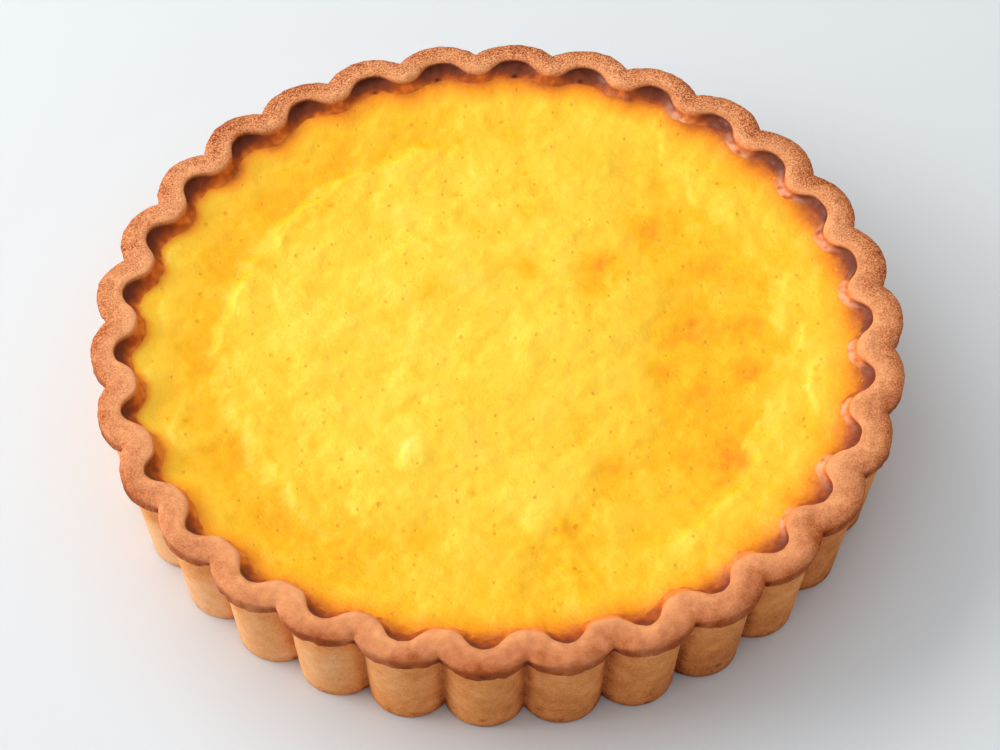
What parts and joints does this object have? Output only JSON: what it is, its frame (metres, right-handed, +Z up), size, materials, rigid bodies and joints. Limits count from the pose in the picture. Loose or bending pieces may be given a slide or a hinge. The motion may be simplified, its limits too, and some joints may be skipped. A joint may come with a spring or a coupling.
{
  "type": "cheesecake tart",
  "caption": "Round baked cheesecake tart: a deep fluted shortcrust case with a rounded scalloped rim, filled with glossy yellow baked cheese custard.",
  "frame": {"origin": "middle of the flat base, on the surface the tart stands on", "axes": "+Z up through the middle of the tart, -Y towards the viewer of the picture"},
  "size_m": [0.1795, 0.1799, 0.0289],
  "materials": {
    "shortcrust": "dry, sandy, toasted",
    "custard": "moist, softly glossy"
  },
  "bodies": {
    "root": {"crust": "shortcrust", "filling": "custard"}
  },
  "joints": []
}
